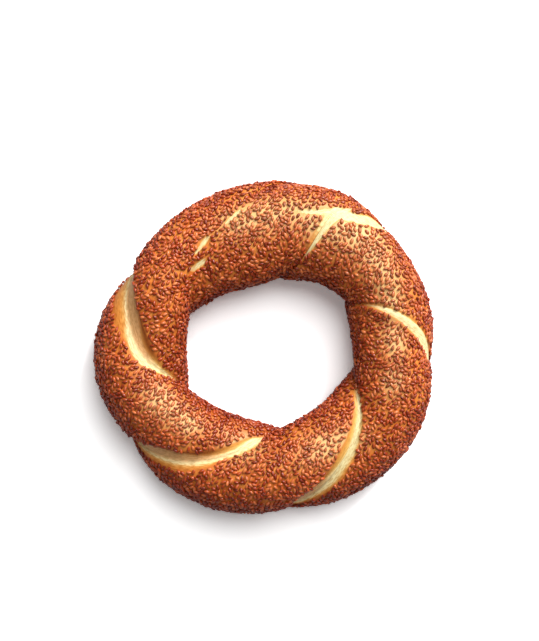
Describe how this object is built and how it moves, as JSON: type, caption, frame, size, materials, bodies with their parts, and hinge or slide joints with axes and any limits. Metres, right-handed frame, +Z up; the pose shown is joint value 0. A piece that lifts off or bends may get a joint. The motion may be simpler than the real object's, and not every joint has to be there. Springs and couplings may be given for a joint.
{
  "type": "simit",
  "caption": "Baked bread ring of two twisted strands of dough with a sesame crust, an open middle and a flat underside to lie on.",
  "frame": {"origin": "on the surface that the ring lies on, under the middle of its outline", "axes": "+Z up through the hole, +Y towards the side where the rope's two ends were joined"},
  "size_m": [0.1694, 0.1656, 0.0371],
  "materials": {
    "crust": "satin",
    "sesame": "satin"
  },
  "bodies": {
    "root": {"simit_ring": "crust"}
  },
  "joints": []
}
